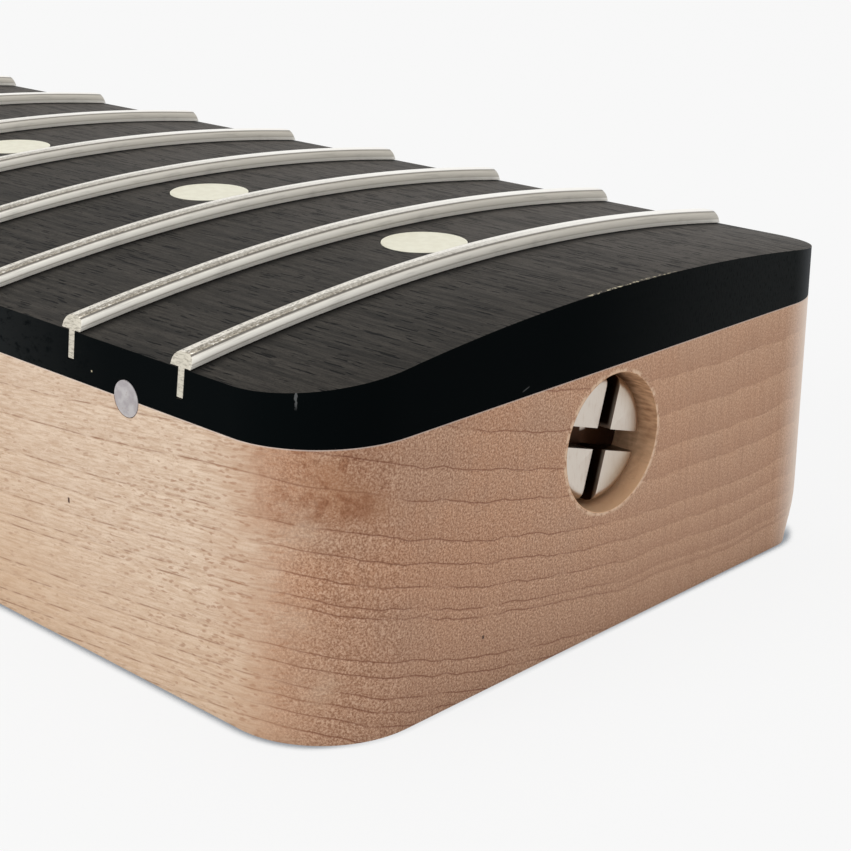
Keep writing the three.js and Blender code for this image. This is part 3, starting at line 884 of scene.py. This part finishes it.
def scoop():
    radius, width = boardCuts["scoopRadius"], boardCuts["scoopWidth"]
    face = plan["headThickness"]
    footX = boardTail - math.sqrt(radius ** 2 - (radius - seam + face) ** 2)
    centreZ = face + radius
    pastTip = neckBox[0].x - 5
    outline = arcPoints((footX, centreZ), radius, -math.pi / 2, 0, 32)
    outline += [(footX + radius, centreZ + 5), (pastTip, centreZ + 5), (pastTip, face)]
    bm = bmesh.new()
    side = bm.faces.new([bm.verts.new((x, -width / 2, z)) for x, z in outline])
    return pull(bm, [side], (0, width, 0)), footX


def facePeg(node, gap):
    spot = middleOf(node)
    floor = boxOf(node)[0].z - gap
    return cylinder(boardCuts["dotRadius"] + gap, floor, boardTop + past, (spot.x, spot.y, 0), 64)


def sidePeg(node, gap, outside):  # a peg square to the bass side, from outside its face inwards
    x = middleOf(node).x
    bm = cylinder(
        boardCuts["sideDotRadius"] + gap, -outside, boardCuts["sideDotLength"] + gap, (0, 0, 0), 32,
    )
    turn(bm, -math.pi / 2, "X")
    turn(bm, -taper, "Z")
    move(bm, (x, -halfWidth(x), seam))
    return bm


def sideHoles():
    return [sidePeg(dot, boardCuts["inlayGap"], past) for dot in sideDots]


def makeFretboard():
    cuts = boardCuts
    outline = heelArcs() + [(boardTail, halfWidth(boardTail)), (boardTail, -halfWidth(boardTail))]
    slab = prism(outline, seam, boardTop + past)
    bm = boolean(slab, archSlice(boardTail - 5, heelEnd + 5), "INTERSECT")
    rim = [e for e in sharpEdges(bm) if min(v.co.z for v in e.verts) > seam + 1 and
           abs(e.verts[0].co.z - e.verts[1].co.z) < 1]
    bevelEdges(bm, rim, cuts["topEdge"], 3)
    tools = sideHoles()
    half, lean = cuts["slotWidth"] / 2, fretShape["tangLean"]
    over, low = cuts["openTop"], -cuts["slotDepth"]
    for fret in frets:
        x = middleOf(fret).x
        section = [
            (x - half + lean, over), (x + half + lean, over), (x + half + lean, 0),
            (x + half - lean, low), (x - half - lean, low), (x - half + lean, 0),
        ]
        tools.append(overBoard(section, cutReach, cuts["slotSteps"]))
    tools += [facePeg(dot, cuts["inlayGap"]) for dot in faceDots]
    back = nutFront - plan["nutThickness"] - cuts["inlayGap"]
    front = nutFront + cuts["inlayGap"]
    seat = [(back, over), (front, over), (front, -cuts["nutSeat"]), (back, -cuts["nutSeat"])]
    tools.append(overBoard(seat, cutReach, cuts["slotSteps"]))
    bm = boolean(bm, joined(tools))
    bm = boolean(bm, scoop()[0])
    addPiece(closed(bm), "ebonyFretboard", ebony, "neck_body", ["fretboard"])


makeFretboard()
print("fretboard made")


# Frets
def fretSection():
    shape = fretShape
    shoulder = (shape["crownWidth"] - shape["landWidth"]) / 2
    rise = shape["crownHeight"] - shape["edgeHeight"]
    arc = []
    for i in range(shape["arcSteps"] + 1):
        angle = math.pi / 2 * i / shape["arcSteps"]
        reach = shape["crownWidth"] / 2 - shoulder * (1 - math.cos(angle))
        arc.append((reach, shape["edgeHeight"] + rise * math.sin(angle)))
    tang, lean = shape["tangWidth"] / 2, shape["tangLean"]
    lift, low = shape["lift"], -shape["tangDepth"]
    right = [(shape["crownWidth"] / 2, lift), *arc]
    crown = right + [(-x, height) for x, height in reversed(right)]
    return [(tang - lean, low), (tang + lean, lift), *crown, (lean - tang, lift), (-lean - tang, low)]


def trimEnd(bm, point, normal):
    cut = bmesh.ops.bisect_plane(bm, geom=whole(bm), plane_co=point, plane_no=normal, clear_outer=True)
    bmesh.ops.contextual_create(bm, geom=edgesOf(cut["geom_cut"]))


def makeFret(node):
    shape = fretShape
    x = middleOf(node).x
    section = [(x + across, height) for across, height in fretSection()]
    bm = overBoard(section, halfWidth(x) + 1, shape["steps"])
    half = halfWidth(x) - shape["endInset"]
    edgeZ = boardTop + archDrop(half)
    lean = shape["endAngle"]
    for side, rounding in shape["endRounding"]:
        point = Vector((x, side * half, edgeZ))
        outward = Vector((-math.sin(taper), side * math.cos(taper), 0))
        trimEnd(bm, point, outward)
        trimEnd(bm, point, outward * math.cos(lean) + Vector((0, 0, math.sin(lean))))
        ends = [e for e in sharpEdges(bm, 40) if all(v.co.y * side > half - 1.2 for v in e.verts) and
                max(v.co.z for v in e.verts) > edgeZ + 0.2]
        bevelEdges(bm, ends, rounding, 2)
    for vert in bm.verts:
        height = vert.co.z - boardTop - archDrop(vert.co.y)
        fall = shape["bassFall"] * smooth((-vert.co.y - shape["fallStart"]) / shape["fallLength"])
        vert.co.z -= fall * smooth(height / shape["crownHeight"])
    bm = closed(bm)
    across = [v.co.x - x for v in bm.verts]
    obj = addPiece(bm, "fretWire" + node[-2:], fretMetal, "neck_body", [node])
    layer = obj.data.attributes.new("across", "FLOAT", "POINT")
    layer.data.foreach_set("value", across)


for fret in frets:
    makeFret(fret)
print("frets made")


# Inlays, which stand proud by a hair
proud = 0.01


def makeFaceDot(node):
    x = middleOf(node).x
    bm = boolean(facePeg(node, 0), archSlice(x - 5, x + 5, proud), "INTERSECT")
    name = "faceDot" + node[len("face_dot_"):]
    addPiece(bm, name, creamInlay, "neck_body", [node])


def makeSideDot(node):
    bm = sidePeg(node, 0, proud)
    bevelEdges(bm, sharpEdges(bm), 0.03, 2)
    name = "sideDot" + node[len("side_dot_"):]
    addPiece(bm, name, greyInlay, "neck_body", [node])


for dot in faceDots:
    makeFaceDot(dot)
for dot in sideDots:
    makeSideDot(dot)
print("inlays made")


# String nut
stringNut = {
    "seatDepth": 2.4,
    "frontHeight": 2,
    "backHeight": 1.3,
    "gap": 0.05,
    "edge": 0.12,
    "spread": 35,
    "slotWidths": [1.25, 1.0, 0.8, 0.6, 0.48, 0.4],
    "slotFloor": 0.8,
    "slotFall": math.radians(7),
}


def makeStringNut():
    shape = stringNut
    back, front, seat = plan["nutThickness"], shape["frontHeight"], -shape["seatDepth"]
    roundOver = (front - shape["backHeight"]) / 2
    section = [
        (-back, seat),
        (0, seat),
        (0, front - roundOver / 2),
        (-roundOver / 2, front),
        (-back / 2, front - roundOver / 2),
        (-back + roundOver, shape["backHeight"] + roundOver),
        (-back, shape["backHeight"]),
    ]
    half = plan["nutEndWidth"] / 2 - shape["gap"]
    bm = overBoard([(nutFront + x, height) for x, height in section], half, 32)
    bevelEdges(bm, sharpEdges(bm, 25), shape["edge"], 3)
    pitch = shape["spread"] / (len(shape["slotWidths"]) - 1)
    length = back + 2 * past
    tools = []
    for i, width in enumerate(shape["slotWidths"]):
        y = i * pitch - shape["spread"] / 2
        slot = block((length, width, front), (-length / 2 + past, 0, front / 2))
        turn(slot, -shape["slotFall"], "Y")
        floor = boardTop + archDrop(y) + shape["slotFloor"]
        move(slot, (nutFront, y, floor))
        tools.append(slot)
    bm = boolean(bm, joined(tools))
    addPiece(bm, "boneStringNut", bone, "neck_body", ["string_nut"])


makeStringNut()
print("string nut made")


# Neck: one board of maple, the carved back, the drilled headstock and the adjuster's hole
neckShape = {
    "depthAtFirstFret": 20.8,
    "depthAtTwelfthFret": 22.9,
    "heelFlat": 76,
    "heelCarve": 34,
    "headCarve": 52,
    "headCarveAheadOfNut": 6,
    "carveExponent": 2.2,
    "flankAllowance": 0.15,
    "headLength": 172,
    "flareLength": 40,
    "flareSteps": 33,
    "shoulderWidth": 68,
    "tipWidth": 75,
    "tipCrown": 7,
    "tipSteps": 24,
    "headCorner": 11,
    "headEdge": 1.5,
    "heelEdge": 0.3,
    "screwSpacing": (50.8, 38.1),
    "screwRadius": 1.6,
    "screwDepth": 16,
    "tunerRadius": 5,
    "tunersPerSide": 3,
    "firstTuner": 46,
    "tunerPitch": 42,
    "tunerToEdge": 13,
    "carveSides": 56,
    "carveSteps": 28,
}
softCorner = {  # the treble corner is worn off towards the floor
    "height": 4.2,
    "inset": 0.6,
    "levels": 5,
    "ease": 0.5,  # radians from the ends of the corner's arc
}
nutBack = nutFront - plan["nutThickness"]
headTip = nutBack - neckShape["headLength"]
flareEnd = boardTail - neckShape["flareLength"]
headSlope = (neckShape["tipWidth"] - neckShape["shoulderWidth"]) / 2 / (flareEnd - headTip)


def headHalf(x):
    return neckShape["shoulderWidth"] / 2 + headSlope * (flareEnd - x)


def neckOutline():
    shape = neckShape
    shoulder = shape["shoulderWidth"] / 2
    nape = halfWidth(boardTail)
    handle = shape["flareLength"] / 2
    lean = math.atan(headSlope)
    radius = shape["headCorner"]
    cornerX = headTip + radius
    cornerY = headHalf(cornerX) - radius / math.cos(lean)
    flare = interpolate_bezier(
        Vector((boardTail, nape, 0)),
        Vector((boardTail - handle, nape - handle * slope, 0)),
        Vector((flareEnd + handle, shoulder - handle * headSlope, 0)),
        Vector((flareEnd, shoulder, 0)),
        shape["flareSteps"],
    )
    treble = [(p.x, p.y) for p in flare]
    treble += arcPoints((cornerX, cornerY), radius, math.pi / 2 - lean, math.pi, 16)
    crown = []
    for i in range(1, shape["tipSteps"]):
        share = i / (shape["tipSteps"] / 2) - 1
        crown.append((headTip - shape["tipCrown"] / 2 * (1 - share ** 2), -share * cornerY))
    bass = [(x, -y) for x, y in reversed(treble)]
    return heelArcs() + treble + crown + bass


def backEnvelope():  # rings that go from the headstock's square through the round grip to the heel's square
    shape = neckShape
    heelFlat = heelEnd - shape["heelFlat"]
    headFull = nutFront + shape["headCarveAheadOfNut"]
    headZone = (headFull, headFull - shape["headCarve"], shape["tipWidth"] / 2 + past)
    heelZone = (heelFlat - shape["heelCarve"], heelFlat, plan["heelEndWidth"] / 2 + past)
    firstX, twelfthX = middleOf("fret_01").x, middleOf("fret_12").x
    depthSlope = (shape["depthAtTwelfthFret"] - shape["depthAtFirstFret"]) / (twelfthX - firstX)
    power = 2 / shape["carveExponent"]

    def ringAt(x, zone):
        full, flat, wide = zone
        grip = 1 - smooth(abs(x - full) / abs(flat - full))
        half = halfWidth(x) + shape["flankAllowance"]
        depth = shape["depthAtFirstFret"] + depthSlope * (x - firstX) - plan["boardThickness"]
        points = []
        for i in range(shape["carveSides"] + 1):
            angle = math.pi * (1 + i / shape["carveSides"])
            along, down = math.cos(angle), math.sin(angle)
            square = max(abs(along), abs(down))
            gripY = math.copysign(abs(along) ** power, along) * half
            gripZ = -(abs(down) ** power) * depth
            y = along / square * wide * (1 - grip) + gripY * grip
            z = down / square * (seam + past) * (1 - grip) + gripZ * grip
            points.append((x, y, seam + z))
        return [(x, points[-1][1], seam + past), (x, points[0][1], seam + past), *points]

    steps = shape["carveSteps"]
    rings = [ringAt(headTip - shape["tipCrown"] - past, headZone)]
    for zone, start, end in ((headZone, headZone[1], headZone[0]), (heelZone, heelZone[0], heelZone[1])):
        rings += [ringAt(start + (end - start) * (i / steps), zone) for i in range(steps + 1)]
    rings.append(ringAt(heelEnd + past, heelZone))
    return loft(rings)


# The rod's own way through the wood
rodWay = {
    "height": 14.3,
    "sag": 5,
    "fromHeelEnd": 50,
    "fromNut": 16,
    "radius": 2.6,
    "sides": 12,
    "steps": 40,
    "routFromHeelEnd": 34,
    "boreFromHeelEnd": 34.5,
    "pocketLength": 10.2,
    "pocketWidth": 9.8,
    "shoulderBehindWasher": 0.85,
}


def rodHeight(x):
    start, end = nutFront + rodWay["fromNut"], heelEnd - rodWay["fromHeelEnd"]
    share = min(max((x - start) / (end - start), 0), 1)
    return rodWay["height"] - rodWay["sag"] * (1 - math.cos(2 * math.pi * share)) / 2


def rodChannel():  # round-bottomed, open to the fretboard as far as the heel's rout
    radius, steps = rodWay["radius"], rodWay["steps"]
    anchor = middleOf("truss_rod_anchor").x
    routEnd = heelEnd - rodWay["routFromHeelEnd"]
    rings = []
    for i in range(steps + 1):
        x = anchor + (routEnd - anchor) * i / steps
        bottom = arcPoints((0, rodHeight(x)), radius, math.pi, 2 * math.pi, rodWay["sides"])
        rings.append([(x, y, z) for y, z in bottom] + [(x, radius, seam + past), (x, -radius, seam + past)])
    return loft(rings)


def rodPocket():
    anchor = middleOf("truss_rod_anchor")
    width = rodWay["pocketWidth"]
    floor = rodHeight(anchor.x) - width / 2
    top = seam + past
    return block((rodWay["pocketLength"], width, top - floor), (anchor.x, 0, (top + floor) / 2))


def wearCorner(blank):  # cut into levels, which are then pulled in
    radius = plan["trebleCornerRadius"]
    for i in range(1, softCorner["levels"] + 1):
        level = (0, 0, softCorner["height"] * i / softCorner["levels"])
        bmesh.ops.bisect_plane(blank, geom=whole(blank), dist=0.0001, plane_co=level, plane_no=(0, 0, 1))
    x = heelEnd - radius
    centre = Vector((x, halfWidth(x) - radius / math.cos(taper), 0))
    for vert in blank.verts:
        out = Vector((vert.co.x, vert.co.y, 0)) - centre
        if min(out.x, out.y) > 0:
            angle = math.atan2(out.y, out.x)
            share = smooth(angle / softCorner["ease"]) * smooth((math.pi / 2 - angle) / softCorner["ease"])
            rise = max(1 - vert.co.z / softCorner["height"], 0)
            vert.co -= out.normalized() * softCorner["inset"] * share * rise ** 2


def roundEdges(bm, footX):  # full at the headstock, fading out up the scoop, and slight at the heel
    shape = neckShape
    weights = bm.edges.layers.float.new("bevel_weight_edge")
    for edge in sharpEdges(bm):
        a, b = (v.co for v in edge.verts)
        if abs(a.z - b.z) > plan["headThickness"] / 2:
            continue
        middle = (a + b) / 2
        rimY = abs(middle.y) > 5 or middle.x < headTip + 1
        if middle.z < 0.01:
            edge[weights] = 1 if middle.x < boardTail else shape["heelEdge"] / shape["headEdge"]
        elif middle.z < seam - 0.2 and middle.x < boardTail and rimY:
            edge[weights] = 1 - smooth((middle.x - footX) / (boardTail - footX))
    obj = placed("blank", meshOf(bm, "blank"))
    bevel = obj.modifiers.new("rounded", "BEVEL")
    bevel.limit_method = "WEIGHT"
    bevel.width = shape["headEdge"]
    bevel.segments = 4
    return evaluated(obj)


def screwAndTunerHoles():
    shape = neckShape
    tools = []
    for end in (-1, 1):
        for side in (-1, 1):
            centre = (end * shape["screwSpacing"][0] / 2, side * shape["screwSpacing"][1] / 2, 0)
            tools.append(cylinder(shape["screwRadius"], -past, shape["screwDepth"], centre, 32))
    for side in (-1, 1):
        for i in range(shape["tunersPerSide"]):
            x = nutBack - shape["firstTuner"] - i * shape["tunerPitch"]
            centre = (x, side * (headHalf(x) - shape["tunerToEdge"]), 0)
            tools.append(cylinder(shape["tunerRadius"], -past, plan["headThickness"] + past, centre, 64))
    return tools


def makeNeck():
    blank = prism(neckOutline(), 0, seam)
    wearCorner(blank)
    cutter, footX = scoop()
    bm = roundEdges(boolean(blank, cutter), footX)
    bm = boolean(bm, backEnvelope(), "INTERSECT")
    bm = boolean(bm, joined(sideHoles() + screwAndTunerHoles()))
    bm = boolean(bm, rodPocket())
    bm = boolean(bm, rodChannel())
    line = (0, 0, rodHeight(heelEnd))
    shoulder = boxOf("truss_rod_washer")[0].x - rodWay["shoulderBehindWasher"]
    boreStart = heelEnd - rodWay["boreFromHeelEnd"]
    bm = boolean(bm, cylinder(rodWay["radius"], boreStart, shoulder + past, line, 32, "X"))
    bm = boolean(bm, cylinder(plan["adjusterHole"], shoulder, heelEnd + past, line, 96, "X"))
    addPiece(closed(bm), "mapleNeck", maple, "neck_body", ["neck"], 40)


makeNeck()
print("neck made")


# Truss rod adjuster: a round nut with a flat face, a rounded rim and crossed screwdriver slots
adjusterShape = {
    "radius": 4.6,
    "length": 10,
    "rim": 0.8,
    "boreDepth": 6.6,
    "boreRadius": 2.5,
    "chamfer": 0.4,
    "slotWidth": 1.5,
    "slotDepth": 2.3,
    "edge": 0.07,
}


def makeAdjuster():
    shape = adjusterShape
    radius, rim, back = shape["radius"], shape["rim"], -shape["length"]
    boreEnd = back + shape["boreDepth"]
    profile = [
        (0, 0),
        *arcPoints((-rim, radius - rim), rim, 0, math.pi / 2, 10),
        (back + shape["chamfer"], radius),
        (back, radius - shape["chamfer"]),
        (back, shape["boreRadius"]),
        (boreEnd, shape["boreRadius"]),
        (boreEnd, 0),
    ]
    bm = bmesh.new()
    verts = [bm.verts.new((x, 0, r)) for x, r in profile]
    edges = [bm.edges.new(pair) for pair in zip(verts, verts[1:])]
    bmesh.ops.spin(
        bm, geom=verts + edges, cent=(0, 0, 0), axis=(1, 0, 0), angle=2 * math.pi, steps=96, use_merge=True,
    )
    bmesh.ops.remove_doubles(bm, verts=bm.verts, dist=0.001)
    bmesh.ops.recalc_face_normals(bm, faces=bm.faces)
    slotSize = (shape["slotDepth"] + 2, shape["slotWidth"], 12)
    for angle in (0, math.pi / 2):
        slot = block(slotSize, (1 - shape["slotDepth"] / 2, 0, 0))
        turn(slot, angle, "X")
        bm = boolean(bm, slot)
    bmesh.ops.remove_doubles(bm, verts=bm.verts, dist=0.002)
    bevelEdges(bm, sharpEdges(bm, 30), shape["edge"], 2)
    turn(bm, plan["adjusterTurn"], "X")
    move(bm, (adjusterFace, 0, rodHeight(heelEnd)))
    addPiece(closed(bm), "adjusterNut", nickel, "adjuster", ["truss_rod_nut"])


makeAdjuster()

# These solids show as they are
bareSolids = {"truss_rod": steel, "truss_rod_anchor": steel, "truss_rod_washer": steel, "channel_fillet": maple}
for node, material in bareSolids.items():
    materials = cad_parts[node].data.materials
    materials.clear()
    materials.append(material)
print("adjuster made")


# Studio
studio = {
    "white": 0.94,
    "ambient": 0.57,
    "floorShow": 0.93,
    "floorSize": 4,
    "shadow": (140, 145, 151),
    "shadowReach": 1.2,
}
lamps = {
    "bassSideKey": {"place": (-0.25, -1.3, 0.75), "target": (0, 0, 0.01), "size": (0.9, 0.7), "power": 12},
    "topSoft": {"place": (-0.3, 0.2, 1.5), "target": (-0.1, 0, 0), "size": (1.4, 1.0), "power": 9},
}
view = {
    "place": (115.94, -98.89, 58.93),
    "azimuth": math.radians(43.496),
    "elevation": math.radians(19.3075),
    "roll": math.radians(0.32),
    "lens": 80.556,
}


def backdropRays(shader):  # 1 for what the camera, metal and glass see, 0 for the light on the object
    rays = shader.add("LightPath").output.node.outputs
    seen = Socket(shader, rays["Is Camera Ray"])
    for ray in ("Is Glossy Ray", "Is Transmission Ray"):
        seen = seen.math("MAXIMUM", seen, Socket(shader, rays[ray]))
    return seen


def makeWorld():
    world = bpy.data.worlds.new("studio")
    bpy.context.scene.world = world
    shader = Shader(world, {}, "Background")
    levels = {"Value": backdropRays(shader), "To Min": studio["ambient"], "To Max": studio["white"]}
    shader.set(Color=(1, 1, 1, 1), Strength=shader.add("MapRange", {}, levels))


def makeFloor():
    shader = newMaterial("paleFloor", studio)
    white = studio["white"]
    x, y, z = shader.split(shader.place())
    reach = {"Distance": studio["shadowReach"] * mm}
    shade = shader.add("AmbientOcclusion", {"samples": 8}, reach, "AO")
    endSide = x.ramp(37, 40.2)  # the shadow is softer before the heel end, and gone past the far corner
    limit = 0.85 - endSide * (0.12 - y.ramp(0, 24) * 0.08)
    shadow = (1 - shade.ramp(0.55, limit)) * (1 - endSide * (1 - y.ramp(-22, 22)) * 0.7)
    shadow = shadow * (1 - y.ramp(24, 27) * x.ramp(16, 28))
    tint = shader.mix(shadow, (white, white, white, 1), "shadow")
    glow = shader.add("Emission", {}, {"Color": tint, "Strength": 1.0})
    diffuse = shader.add("BsdfDiffuse", {}, {"Color": (0.85, 0.85, 0.85, 1)})
    seen = backdropRays(shader) * studio["floorShow"]
    surface = shader.add("MixShader", {}, {0: seen, 1: diffuse, 2: glow})
    below = shader.add("NewGeometry", output="Backfacing")  # clear from below
    surface = shader.add("MixShader", {}, {0: below, 1: surface, 2: shader.add("BsdfTransparent")})
    shader.feed(shader.tree.nodes["Material Output"].inputs["Surface"], surface)
    bm = bmesh.new()
    bmesh.ops.create_grid(bm, x_segments=1, y_segments=1, size=studio["floorSize"])
    floor = placed("floor", meshOf(bm, "floor"))
    floor.data.materials.append(shader.owner)


def addLamp(name, place, target, size, power):
    data = bpy.data.lights.new(name, "AREA")
    data.shape = "RECTANGLE"
    data.size, data.size_y = size
    data.energy = power
    lamp = placed(name, data)
    lamp.location = place
    lamp.rotation_mode = "QUATERNION"
    lamp.rotation_quaternion = (Vector(target) - Vector(place)).to_track_quat("-Z", "Y")


def makeCamera():
    azimuth, elevation = view["azimuth"], view["elevation"]
    level = math.cos(elevation)
    forward = Vector((-math.sin(azimuth) * level, math.cos(azimuth) * level, -math.sin(elevation)))
    data = bpy.data.cameras.new("photoView")
    data.lens = view["lens"]
    data.sensor_width = 36
    data.clip_start = 0.005
    camera = placed("photoView", data)
    camera.location = Vector(view["place"]) * mm
    camera.rotation_mode = "QUATERNION"
    roll = Matrix.Rotation(view["roll"], 3, "Z").to_quaternion()
    camera.rotation_quaternion = forward.to_track_quat("-Z", "Y") @ roll
    bpy.context.scene.camera = camera


makeWorld()
makeFloor()
for name, lamp in lamps.items():
    addLamp(name, **lamp)
makeCamera()
bpy.context.scene.view_settings.view_transform = "Standard"
print("studio made")
